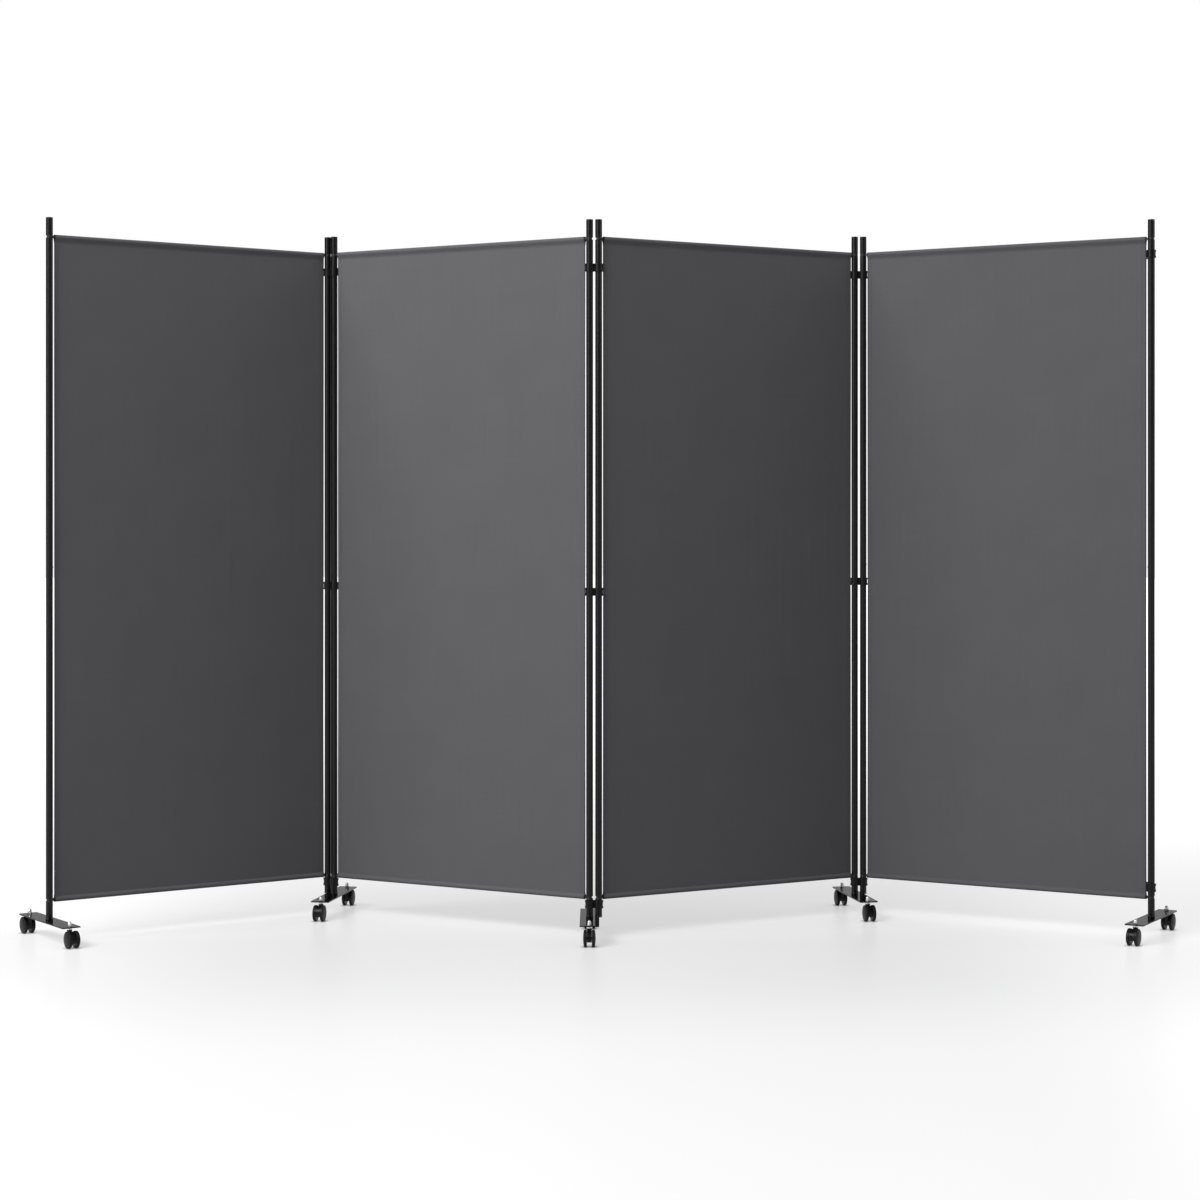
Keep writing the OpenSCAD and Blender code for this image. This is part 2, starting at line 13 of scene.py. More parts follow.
import bpy
import numpy as np
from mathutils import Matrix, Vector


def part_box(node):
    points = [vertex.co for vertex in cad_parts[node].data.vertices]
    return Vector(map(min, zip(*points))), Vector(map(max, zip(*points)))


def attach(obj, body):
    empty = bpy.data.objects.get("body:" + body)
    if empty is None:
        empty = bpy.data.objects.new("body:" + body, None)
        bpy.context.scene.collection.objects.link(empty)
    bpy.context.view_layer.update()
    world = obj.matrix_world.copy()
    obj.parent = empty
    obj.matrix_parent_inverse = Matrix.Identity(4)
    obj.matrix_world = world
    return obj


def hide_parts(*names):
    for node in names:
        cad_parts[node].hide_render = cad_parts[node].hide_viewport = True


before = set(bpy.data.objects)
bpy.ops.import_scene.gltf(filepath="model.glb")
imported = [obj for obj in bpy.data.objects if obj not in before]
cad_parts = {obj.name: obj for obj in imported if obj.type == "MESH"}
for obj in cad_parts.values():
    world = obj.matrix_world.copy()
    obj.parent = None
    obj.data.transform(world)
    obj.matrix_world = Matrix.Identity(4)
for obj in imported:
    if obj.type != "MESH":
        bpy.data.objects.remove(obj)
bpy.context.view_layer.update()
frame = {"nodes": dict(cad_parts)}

log = logging.getLogger("room_divider")

Array = np.ndarray
Vec3 = tuple[float, float, float]
Rgb = tuple[float, float, float]
Socket = bpy.types.NodeSocket


# ---- Meshes from arrays ----


def mesh_piece(name: str, points: Array, quads: Array) -> bpy.types.Object:
    """Makes a smooth-shaded piece from an array of points and an array of four-sided faces.

    Args:
        name: Name of the piece.
        points: Corner positions, one row of x, y and z each.
        quads: Four point numbers for each face, counter-clockwise from outside.

    Returns:
        The new object, at the origin, with its place in its mesh.
    """
    mesh = bpy.data.meshes.new(name)
    mesh.vertices.add(len(points))
    mesh.vertices.foreach_set("co", np.ascontiguousarray(points, np.float32).ravel())
    mesh.loops.add(quads.size)
    mesh.loops.foreach_set("vertex_index", quads.ravel().astype(np.int32))
    mesh.polygons.add(len(quads))
    mesh.polygons.foreach_set("loop_start", np.arange(0, quads.size, 4, dtype=np.int32))
    mesh.polygons.foreach_set("use_smooth", np.ones(len(quads), bool))
    mesh.update(calc_edges=True)
    mesh.validate()
    piece = bpy.data.objects.new(name, mesh)
    bpy.context.scene.collection.objects.link(piece)
    return piece


def set_uv(piece: bpy.types.Object, uv: Array) -> None:
    """Gives a piece a UV map in metres from one pair of numbers for each point of its mesh.

    Args:
        piece: The piece.
        uv: Distances across and along the surface, one row for each point.
    """
    layer = piece.data.uv_layers.new(name="surface")
    corner = np.zeros(len(piece.data.loops), np.int32)
    piece.data.loops.foreach_get("vertex_index", corner)
    layer.data.foreach_set("uv", uv[corner].astype(np.float32).ravel())


def grid_quads(rows: int, columns: int, wrap: bool = False) -> Array:
    """Faces of a grid of points, so that rows cross columns is the outward direction.

    Args:
        rows: Number of rows of points.
        columns: Number of points in each row.
        wrap: Whether the last column joins the first one.

    Returns:
        Four point numbers for each face.
    """
    number = np.arange(rows * columns).reshape(rows, columns)
    if wrap:
        number = np.concatenate([number, number[:, :1]], axis=1)
    a, b = number[:-1, :-1], number[1:, :-1]
    c, d = number[1:, 1:], number[:-1, 1:]
    return np.stack([a, b, c, d], axis=-1).reshape(-1, 4)


def smooth_step(x: Array, low: float, high: float) -> Array:
    """Returns 0 below low, 1 above high, and an S curve, 3t^2 - 2t^3, between them."""
    t = np.clip((x - low) / (high - low), 0.0, 1.0)
    return t * t * (3.0 - 2.0 * t)


def distance_along(line: Array) -> Array:
    """Returns the distance gone so far at each point of a line, one row of two numbers each."""
    return np.concatenate([[0.0], np.cumsum(np.hypot(*np.diff(line, axis=0).T))])


@dataclass(frozen=True)
class Place:
    """Where a sub-assembly stands: a point on the plan, a height and a turn about +Z."""

    x: float
    y: float
    z: float
    turn_deg: float

    def put(self, points: Array) -> Array:
        """Turns points about +Z and moves them to this place.

        Args:
            points: Positions in the sub-assembly's own axes, with x, y and z last.

        Returns:
            The positions in the frame of the CAD model.
        """
        angle = math.radians(self.turn_deg)
        c, s = math.cos(angle), math.sin(angle)
        x = c * points[..., 0] - s * points[..., 1] + self.x
        y = s * points[..., 0] + c * points[..., 1] + self.y
        return np.stack([x, y, points[..., 2] + self.z], axis=-1)


# ---- Finishes ----


class Nodes:
    """A node tree, written one node at a time."""

    def __init__(self, tree: bpy.types.NodeTree) -> None:
        """Empties the tree."""
        self.tree = tree
        self.tree.nodes.clear()

    def feed(self, socket: Socket, value: object) -> None:
        """Links an output to a socket, or writes a plain value on it.

        Args:
            socket: The input.
            value: Another node's output, or the value.
        """
        if isinstance(value, Socket):
            self.tree.links.new(value, socket)
        else:
            socket.default_value = value

    def fill(self, node: bpy.types.Node, sockets: dict[str, object]) -> None:
        """Feeds a node's inputs by name, with _ for a space."""
        for key, value in sockets.items():
            self.feed(node.inputs[key.replace("_", " ")], value)

    def node(self, kind: str, settings: dict | None = None, **sockets: object) -> bpy.types.Node:
        """Adds a node.

        Args:
            kind: Blender's name of the node type, without its prefix.
            settings: Properties of the node itself.
            **sockets: Inputs by name, with _ for a space, each a value or another node's output.

        Returns:
            The new node.
        """
        made = self.tree.nodes.new("ShaderNode" + kind)
        for key, value in (settings or {}).items():
            setattr(made, key, value)
        self.fill(made, sockets)
        return made

    def maths(self, operation: str, *values: object, kind: str = "Math") -> Socket:
        """Adds a Math or Vector Math node.

        Args:
            operation: Blender's name of the operation.
            *values: Its inputs in order, each a plain value or another node's output.
            kind: Blender's name of the node type, without its prefix.

        Returns:
            The number that comes out.
        """
        made = self.node(kind, {"operation": operation})
        for socket, value in zip(made.inputs, values):
            self.feed(socket, value)
        return made.outputs["Value"]

    def spread(self, value: object, low: float, high: float) -> Socket:
        """Maps 0 to 1 on to low to high, without limits, as value * (high - low) + low."""
        return self.maths("MULTIPLY_ADD", value, high - low, low)

    def apart(self, one: object, other: object) -> Socket:
        """Returns how far two numbers are apart."""
        return self.maths("ABSOLUTE", self.maths("SUBTRACT", one, other))

    def ramp(self, value: object, *limits: float) -> Socket:
        """Maps a number with an S curve, level beyond its ends.

        Args:
            value: The number.
            *limits: Where the curve starts and ends, and its values there.

        Returns:
            The mapped number.
        """
        sockets = dict(zip(("From_Min", "From_Max", "To_Min", "To_Max"), limits))
        made = self.node("MapRange", {"interpolation_type": "SMOOTHSTEP"}, Value=value, **sockets)
        return made.outputs["Result"]

    def mixed(self, share: object, low: object, high: object, kind: str = "FLOAT") -> Socket:
        """Adds a Mix node: low where share is 0 and high where it is 1."""
        made = self.node("Mix", {"data_type": kind}, Factor=share, A=low, B=high)
        return made.outputs["Result"]

    def along(self, at: object, way: Vec3) -> Socket:
        """Returns how far a place or direction reaches along a direction."""
        return self.maths("DOT_PRODUCT", at, way, kind="VectorMath")

    def seen_directly(self) -> Socket:
        """Tells the rays that show a surface from those that only light it.

        Returns:
            1 for camera, mirror and see-through rays, and 0 for scattered light.
        """
        rays = self.node("LightPath").outputs
        mirrored = self.maths("MAXIMUM", rays["Is Camera Ray"], rays["Is Glossy Ray"])
        return self.maths("MAXIMUM", mirrored, rays["Is Transmission Ray"])


class Recipe(Nodes):
    """A material's node tree, around one Principled shader."""

    def __init__(self, name: str) -> None:
        """Starts an empty material.

        Args:
            name: Name of the material.
        """
        self.material = bpy.data.materials.new(name)
        self.material.use_nodes = True
        super().__init__(self.material.node_tree)
        self.shader = self.node("BsdfPrincipled")
        self.output = self.node("OutputMaterial", Surface=self.shader.outputs["BSDF"])

    def place(self) -> Socket:
        """Returns a point's place on the object, in metres."""
        return self.node("TexCoord").outputs["Object"]

    def noise(self, at: object, per_metre: float, detail: float = 3.0) -> Socket:
        """Returns noise around 0.5 with so many lumps in each metre."""
        return self.node("TexNoise", Vector=at, Scale=per_metre, Detail=detail).outputs["Fac"]

    def stretched(self, at: object, scale: Vec3) -> Socket:
        """Returns a place with each of its numbers multiplied, to draw a pattern out."""
        return self.node("Mapping", Vector=at, Scale=scale).outputs["Vector"]

    def tint(self, colour: Rgb, share: object) -> Socket:
        """Makes a colour darker or lighter.

        Args:
            colour: The colour.
            share: Factor on it, a number or another node's output.

        Returns:
            The scaled colour.
        """
        flat = self.node("RGB")
        flat.outputs[0].default_value = (*colour, 1.0)
        scaled = self.node("VectorMath", {"operation": "SCALE"}, Scale=share)
        self.feed(scaled.inputs[0], flat.outputs[0])
        return scaled.outputs[0]

    def bump(self, height: object, depth: float, strength: float = 1.0) -> None:
        """Raises the surface by a height of 0 to 1 times a depth in metres."""
        made = self.node("Bump", Height=height, Distance=depth, Strength=strength)
        self.fill(self.shader, {"Normal": made.outputs[0]})

    def finish(self, colour: object, rough: object, **numbers: float) -> bpy.types.Material:
        """Completes the shader.

        Args:
            colour: Base colour.
            rough: Roughness.
            **numbers: Inputs by name, with _ for a space, each the same all over the surface.

        Returns:
            The material.
        """
        self.fill(self.shader, {"Base_Color": colour, "Roughness": rough, **numbers})
        return self.material


@dataclass(frozen=True)
class PowderCoat:
    """Baked powder paint on steel: nearly black, with the fine orange peel of fused powder."""

    name: str
    colour: Rgb
    roughness: float
    specular: float
    peel_per_metre: float = 900.0
    peel_depth: float = 0.00003
    clouds_per_metre: float = 14.0
    rubs_per_metre: float = 420.0

    def build(self) -> bpy.types.Material:
        """Varies the colour and the gloss a little over the length of a part.

        Returns:
            The material.
        """
        mix = Recipe(self.name)
        at = mix.place()
        cloudy = mix.noise(at, self.clouds_per_metre, 4.0)
        upright = mix.stretched(at, (1.0, 1.0, 0.06))
        rubbed = mix.noise(upright, self.rubs_per_metre, 2.0)
        shade = mix.maths("MULTIPLY", mix.spread(cloudy, 0.82, 1.18), mix.spread(rubbed, 0.9, 1.1))
        wear = mix.maths("ADD", mix.spread(cloudy, -0.05, 0.05), mix.spread(rubbed, -0.03, 0.03))
        rough = mix.maths("ADD", wear, self.roughness)
        mix.bump(mix.noise(at, self.peel_per_metre, 1.0), self.peel_depth)
        return mix.finish(mix.tint(self.colour, shade), rough, Specular_IOR_Level=self.specular)


@dataclass(frozen=True)
class MouldedPlastic:
    """Moulded plastic with the fine spark-eroded grain of its mould."""

    name: str
    colour: Rgb
    roughness: float
    specular: float
    flow_per_metre: float = 45.0
    grain_per_metre: float = 2200.0
    grain_depth: float = 0.00003

    def build(self) -> bpy.types.Material:
        """Gives the plastic its grain, faint flow marks and a little rubbed shine.

        Returns:
            The material.
        """
        mix = Recipe(self.name)
        at = mix.place()
        flow = mix.noise(at, self.flow_per_metre)
        grain = mix.noise(at, self.grain_per_metre, 2.0)
        shade = mix.maths("MULTIPLY", mix.spread(flow, 0.86, 1.14), mix.spread(grain, 0.92, 1.08))
        rough = mix.spread(flow, self.roughness - 0.06, self.roughness + 0.06)
        mix.bump(grain, self.grain_depth)
        return mix.finish(mix.tint(self.colour, shade), rough, Specular_IOR_Level=self.specular)


@dataclass(frozen=True)
class TreadPlastic:
    """Plastic of a caster wheel, scuffed and dusty where it rolls on the floor."""

    name: str
    colour: Rgb
    dust: Rgb
    roughness: float
    specular: float
    scuffs_per_metre: float = 260.0
    clouds_per_metre: float = 60.0
    grain_per_metre: float = 1800.0
    grain_depth: float = 0.00003

    def build(self) -> bpy.types.Material:
        """Dusts the wheel where its own attribute "tread" says that it rolls.

        Returns:
            The material.
        """
        mix = Recipe(self.name)
        at = mix.place()
        rolled = mix.node("Attribute", {"attribute_name": "tread"}).outputs["Fac"]
        scuff = mix.noise(at, self.scuffs_per_metre, 5.0)
        dusty = mix.maths("MULTIPLY", rolled, mix.spread(scuff, -0.3, 1.0))
        dusty = mix.maths("MAXIMUM", dusty, 0.0)
        cloudy = mix.noise(at, self.clouds_per_metre)
        clean = mix.tint(self.colour, mix.spread(cloudy, 0.88, 1.12))
        colour = mix.mixed(dusty, clean, (*self.dust, 1.0), "RGBA")
        rough = mix.maths("MULTIPLY_ADD", dusty, 0.2, self.roughness)
        mix.bump(mix.noise(at, self.grain_per_metre, 2.0), self.grain_depth)
        return mix.finish(colour, rough, Specular_IOR_Level=self.specular)


@dataclass(frozen=True)
class BrightSteel:
    """Plated steel, bright, with faint haze and handling marks."""

    name: str
    colour: Rgb
    roughness: float
    haze_per_metre: float = 180.0
    grain_per_metre: float = 1200.0
    grain_depth: float = 0.000012

    def build(self) -> bpy.types.Material:
        """Makes a mirror-like metal whose gloss varies in small patches.

        Returns:
            The material.
        """
        mix = Recipe(self.name)
        at = mix.place()
        haze = mix.noise(at, self.haze_per_metre, 4.0)
        rough = mix.spread(haze, self.roughness - 0.06, self.roughness + 0.1)
        mix.bump(mix.noise(at, self.grain_per_metre, 2.0), self.grain_depth)
        colour = mix.tint(self.colour, mix.spread(haze, 0.92, 1.06))
        return mix.finish(colour, rough, Metallic=1.0)


@dataclass(frozen=True)
class WovenCloth:
    """Plain-woven polyester: one thread over, one under, in a slightly uneven dyed yarn."""

    name: str
    colour: Rgb
    cut_width: float
    fold_at: float
    doubled: tuple[float, float]
    thread_pitch: float = 0.00055
    weave_depth: float = 0.00009
    yarns_per_metre: float = 420.0
    streaks_per_metre: float = 3.0
    roughness: float = 0.85
    edge_width: float = 0.003
    # edge_shade, hem_shade and flap_shade are painted shade: a dark line along each side fold, then
    # the doubled side hems and the strip over the upper flap
    edge_shade: float = 0.45
    hem_shade: float = 0.96
    flap_shade: float = 0.89

    def build(self) -> bpy.types.Material:
        """Draws the weave on the cloth's own UV map.

        Each set of threads is a row of ridges, the size of sin(pi * distance / pitch). A
        checker of thread squares says which set is on top. Yarns differ in shade along their
        length, which leaves the faint streaks of a real cloth. The dark line along each side
        fold is painted shade of the fold. The doubled hem beside it is a little darker, painted
        shade of two layers of cloth, as is the strip below the upper pocket, where the flap lies
        behind the sheet.

        Returns:
            The material.
        """
        mix = Recipe(self.name)
        uv = mix.node("TexCoord").outputs["UV"]
        axes = mix.node("SeparateXYZ", Vector=uv).outputs
        across, along = axes["X"], axes["Y"]
        ridges = []
        for axis in (across, along):
            turns = mix.maths("MULTIPLY", axis, math.pi / self.thread_pitch)
            ridges.append(mix.maths("ABSOLUTE", mix.maths("SINE", turns)))
        over = mix.node("TexChecker", Vector=uv, Scale=1.0 / self.thread_pitch).outputs["Fac"]
        height = mix.mixed(over, *ridges)
        fine, drawn = self.yarns_per_metre, self.streaks_per_metre
        warp = mix.noise(mix.stretched(uv, (fine, drawn, 1.0)), 1.0, 2.0)
        weft = mix.noise(mix.stretched(uv, (drawn, fine, 1.0)), 1.0, 2.0)
        patch = mix.noise(uv, 7.0)
        fleck = mix.noise(uv, 900.0, 1.0)
        shade = mix.spread(height, 0.86, 1.08)
        for part, low, high in (
            (warp, 0.93, 1.07),
            (weft, 0.95, 1.05),
            (patch, 0.93, 1.07),
            (fleck, 0.9, 1.1),
        ):
            shade = mix.maths("MULTIPLY", shade, mix.spread(part, low, high))
        half = self.cut_width / 2
        to_edge = mix.maths("SUBTRACT", half, mix.apart(across, half))
        from_fold = mix.apart(to_edge, self.fold_at)
        start, end = self.doubled
        from_flap, reach = mix.apart(along, (start + end) / 2), (end - start) / 2
        # Painted shade: a dark line along each side fold, then the doubled hems and the strip over
        # the upper flap a little darker
        for far, low, high, dark in (
            (from_fold, self.edge_width * 0.75, self.edge_width, self.edge_shade),
            (from_fold, self.fold_at * 0.93, self.fold_at, self.hem_shade),
            (from_flap, reach * 0.85, reach, self.flap_shade),
        ):
            shade = mix.maths("MULTIPLY", shade, mix.ramp(far, low, high, dark, 1.0))
        rough = mix.spread(height, self.roughness + 0.06, self.roughness - 0.06)
        mix.bump(height, self.weave_depth, 0.8)
        colour, fuzz = mix.tint(self.colour, shade), {"Sheen_Weight": 0.06, "Sheen_Roughness": 0.4}
        return mix.finish(colour, rough, Specular_IOR_Level=0.2, **fuzz)


@dataclass(frozen=True)
class SewingThread:
    """Twisted polyester sewing thread."""

    name: str
    colour: Rgb
    twist_per_metre: float = 1100.0
    ply_depth: float = 0.00004

    def build(self) -> bpy.types.Material:
        """Draws slanted bands across each stitch, which are the plies of the thread.

        Blender's wave texture has about three bands for each unit of its scale.

        Returns:
            The material.
        """
        mix = Recipe(self.name)
        at = mix.place()
        ply = mix.node(
            "TexWave",
            {"wave_type": "BANDS", "bands_direction": "DIAGONAL"},
            Vector=at,
            Scale=self.twist_per_metre / 3.0,
            Distortion=0.6,
        ).outputs["Fac"]
        patch = mix.spread(mix.noise(at, 90.0), 0.9, 1.1)
        shade = mix.maths("MULTIPLY", mix.spread(ply, 0.75, 1.1), patch)
        rough = mix.spread(ply, 0.7, 0.55)
        mix.bump(ply, self.ply_depth)
        return mix.finish(
            mix.tint(self.colour, shade), rough, Specular_IOR_Level=0.3, Sheen_Weight=0.1
        )


class Finish(Enum):
    """Every finish on the divider. All but the thread's are the record's material slots."""

    CLOTH = "fabric"
    TUBE = "tube_coat"
    RAIL = "rail_coat"
    PLUG = "plug_plastic"
    CLIP = "clip_plastic"
    PLATE = "plate_coat"
    STEEL = "bright_steel"
    HOUSING = "housing_plastic"
    WHEEL = "wheel_plastic"
    THREAD = "thread"


class Paintbox:
    """Makes each finish once and hands it out."""

    def __init__(self, cloth_width: float, fold_at: float, doubled: tuple[float, float]) -> None:
        """Builds the materials.

        Args:
            cloth_width: Width that the cloth was cut to.
            fold_at: Distance of the side folds from the cut edges.
            doubled: Where the upper flap starts and ends behind the sheet, along the cloth.
        """
        recipes = {
            Finish.CLOTH: WovenCloth(
                "grey_woven_cloth", (0.0795, 0.079, 0.0845), cloth_width, fold_at, doubled
            ),
            Finish.TUBE: PowderCoat("black_satin_tube_coat", (0.0015, 0.0015, 0.0016), 0.34, 0.28),
            Finish.RAIL: PowderCoat("black_satin_rail_coat", (0.003, 0.003, 0.0032), 0.48, 0.4),
            Finish.PLUG: MouldedPlastic("black_plug_plastic", (0.0025, 0.0025, 0.0027), 0.26, 0.6),
            Finish.CLIP: MouldedPlastic("black_clip_plastic", (0.001, 0.001, 0.0011), 0.36, 0.25),
            Finish.PLATE: PowderCoat(
                "black_gloss_plate_coat", (0.003, 0.003, 0.0032), 0.15, 0.16, 500.0, 0.00002
            ),
            Finish.STEEL: BrightSteel("bright_plated_steel", (0.93, 0.93, 0.94), 0.4),
            Finish.HOUSING: MouldedPlastic(
                "black_housing_plastic", (0.002, 0.002, 0.0021), 0.36, 0.2
            ),
            Finish.WHEEL: TreadPlastic(
                "black_wheel_plastic", (0.0035, 0.0035, 0.0037), (0.014, 0.014, 0.0145), 0.36, 0.16
            ),
            Finish.THREAD: SewingThread("grey_sewing_thread", (0.045, 0.045, 0.047)),
        }
        self.materials = {finish: recipe.build() for finish, recipe in recipes.items()}

    def dress(self, piece: bpy.types.Object, finish: Finish) -> None:
        """Puts a finish on every material slot of a piece.

        Args:
            piece: The piece.
            finish: The finish.
        """
        material = self.materials[finish]
        if not piece.material_slots:
            piece.data.materials.append(material)
        for slot in piece.material_slots:
            slot.material = material


# ---- Plan of the screen ----


@dataclass
class Plan:
    """Where the panels and bases stand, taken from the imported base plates."""

    post_pitch: float = 0.023
    deck_height: float = 0.052
    panel_turns: tuple[float, ...] = (35.0, -30.0, 30.0, -30.0)
    base_turns: tuple[float, ...] = (125.0, 80.0, 90.0, 100.0, 60.0)

    def base(self, number: int) -> Place:
        """Returns the place of a base: below its post, with its +X towards the back caster."""
        low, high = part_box(f"base_{number}_plate")
        return Place((low.x + high.x) / 2, (low.y + high.y) / 2, 0.0, self.base_turns[number - 1])

    def panel(self, number: int) -> Place:
        """Returns the place of a panel: at its left post on top of the bases, +X along it."""
        post, across = self.base(number), self.post_pitch if number > 2 else 0.0
        return Place(post.x + across, post.y, self.deck_height, self.panel_turns[number - 1])


# ---- Cloth panels ----


@dataclass(frozen=True)
class ClothPath:
    """The middle line of the cloth in a panel's Y and Z, from the upper flap to the lower one.

    out points away from the rails, along is the distance so far, lift says how much of a hem's
    thickness the flap stands off the sheet, and free is 0 on the pockets and 1 on the sheet
    between them.
    """

    line: Array
    out: Array
    along: Array
    lift: Array
    free: Array


@dataclass
class ClothPanel:
    """One stretched panel of cloth: side hems, and a sewn pocket around each of two rails."""

    number: int
    seed: int
    panel_width: float = 0.8
    side_inset: float = 0.01295
    low_rail: float = 0.0505
    top_rail: float = 1.729
    wrap_radius: float = 0.0057
    thickness: float = 0.0005
    seam_drop: float = 0.0108
    seam_rise: float = 0.0074
    top_flap: float = 0.0045
    low_flap: float = 0.0035
    hem_width: float = 0.014
    hem_fade: tuple[float, float] = (0.001, 0.02)
    fold_radius: float = 0.00028
    face_y: float = -0.0003
    seam_gap: float = 0.0005
    stitch_inset: float = 0.0115
    stitch_margin: float = 0.004
    stitch_pitch: float = 0.0036
    stitch_length: float = 0.0029
    thread_radius: float = 0.00022
    slack: float = 0.0011
    broad_share: float = 0.45
    seam_ripple: float = 0.35
    still_share: float = 0.16
    ripple: float = 0.00003
    pucker: float = 0.00022
    pucker_from: float = 0.003
    pucker_reach: float = 0.02
    bow: float = 0.0008
    arc_points: int = 27
    hem_points: int = 6
    half_columns: int = 98
    sheet_rows: int = 150
    crowding: float = 0.8
    waves: list[tuple[float, float, float, float, float]] = field(init=False)
    ripples: list[tuple[float, float, float]] = field(init=False)

    def __post_init__(self) -> None:
        """Draws the seeded waves and ripples: amplitudes first, then frequencies, then phases."""
        draw = np.random.default_rng(self.seed)
        self.waves = [
            (1.0 / rank, 0.6 + 0.55 * rank * draw.random(), 0.5 + 0.9 * rank * draw.random(),
             float(draw.uniform(0, math.tau)), float(draw.uniform(0, math.tau)))
            for rank in range(1, 7)
        ]
        self.ripples = [
            (float(draw.uniform(0.5, 1.0)), float(draw.uniform(9.0, 30.0)),
             float(draw.uniform(0, math.tau)))
            for _ in range(5)
        ]

    @property
    def width(self) -> float:
        """Width of the finished cloth between its side edges."""
        return self.panel_width - 2 * self.side_inset

    @property
    def seams(self) -> tuple[float, float]:
        """Heights of the seams below the top rail and above the bottom rail."""
        return self.top_rail - self.seam_drop, self.low_rail + self.seam_rise

    def hem_zone(self, x: Array) -> Array:
        """Returns 1 over the side hems and 0 on the single cloth between them."""
        edge = np.minimum(x, self.width - x)
        return 1.0 - smooth_step(edge, *(self.hem_width + beyond for beyond in self.hem_fade))

    def pocket(self, seam: float, flap: float) -> tuple[Array, Array, Array]:
        """Works out a pocket around a rail at the origin, sewn shut below it.

        It is a flap behind the sheet, a straight line that touches a circle around the rail,
        the arc over the rail, and a straight line back to the seam.

        Args:
            seam: Distance of the seam from the rail's axis.
            flap: Length of the flap.

        Returns:
            Points in Y and Z, the outward directions there, and the lift of the flap.
        """
        touch = math.acos(self.wrap_radius / math.hypot(self.face_y, seam))
        start = -math.pi / 2 + math.atan2(-self.face_y, seam) + touch
        angle = np.linspace(start, math.pi - start, self.arc_points)
        round_out = np.stack([np.cos(angle), np.sin(angle)], axis=1)
        arc = self.wrap_radius * round_out
        back, front = np.array([[-self.face_y, -seam], [self.face_y, -seam]])
        step = np.linspace(0.0, 1.0, 5)[1:-1, None]
        tail = back - np.array([[0.0, flap], [0.0, flap / 2], [0.0, 0.0]])
        rise = back + (arc[0] - back) * step
        fall = arc[-1] + (front - arc[-1]) * step
        line = np.concatenate([tail, rise, arc, fall, front[None]])
        straight = np.ones((len(step), 1))
        flap_out = np.tile([1.0, 0.0], (len(tail), 1))
        rise_out, fall_out = straight * round_out[0], straight * round_out[-1]
        out = np.concatenate([flap_out, rise_out, round_out, fall_out, [[-1.0, 0.0]]])
        flat_until, round_from = len(tail) - 1, len(tail) + len(rise)
        lift = np.interp(np.arange(len(line)), (flat_until, round_from), (1.0, 0.0))
        return line, out, lift

    def path(self) -> ClothPath:
        """Works out the cloth's middle line in the panel's Y and Z.

        The sheet runs down between the seams of its two pockets, with its rows closer
        together near them.

        Returns:
            The path, from the tail of the upper flap to the tail of the lower one.
        """
        upper, upper_out, upper_lift = self.pocket(self.seam_drop, self.top_flap)
        lower, lower_out, lower_lift = self.pocket(self.seam_rise, self.low_flap)
        upside_down = np.array([1.0, -1.0])
        even = np.linspace(0.0, 1.0, self.sheet_rows + 2)[1:-1]
        crowded = even - self.crowding * np.sin(math.tau * even) / math.tau
        flat = np.zeros_like(even)
        height = self.seams[0] - crowded * (self.seams[0] - self.seams[1])
        line = np.concatenate(
            [
                upper + (0.0, self.top_rail),
                np.stack([flat + self.face_y, height], axis=1),
                lower[::-1] * upside_down + (0.0, self.low_rail),
            ]
        )
        out = np.concatenate(
            [upper_out, np.stack([flat - 1.0, flat], axis=1), lower_out[::-1] * upside_down]
        )
        lift = np.concatenate([upper_lift, flat, lower_lift[::-1]])
        still = np.zeros(len(upper))
        free = np.concatenate([still, flat + 1.0, still])
        return ClothPath(line, out, distance_along(line), lift, free)

    def columns(self) -> tuple[Array, Array, Array]:
        """Works out the cloth's middle line across the panel, hems folded to the back.

        A hem runs out to the side edge on the back, round a half circle, and the sheet
        starts again on the front.

        Returns:
            Distance from the left side edge, depth behind the front layer, and the
            distance along the cloth itself.
        """
        hem = np.linspace(self.hem_width, self.fold_radius, self.hem_points)
        turn = np.linspace(math.pi, 0.0, self.hem_points)[1:-1]
        fold_x = self.fold_radius * (1.0 - np.sin(turn))
        fold_depth = self.fold_radius * (1.0 - np.cos(turn))
        front = np.linspace(self.fold_radius, self.width / 2, self.half_columns)
        half_x = np.concatenate([hem, fold_x, front])
        half_depth = np.concatenate(
            [np.full_like(hem, 2 * self.fold_radius), fold_depth, np.zeros_like(front)]
        )
        x = np.concatenate([half_x, self.width - half_x[-2::-1]])
        depth = np.concatenate([half_depth, half_depth[-2::-1]])
        return x, depth, distance_along(np.stack([x, depth], axis=1))

    def climb(self, z: Array) -> Array:
        """Returns the height above the lower seam, as a share of the free sheet's height."""
        return (z - self.seams[1]) / (self.seams[0] - self.seams[1])

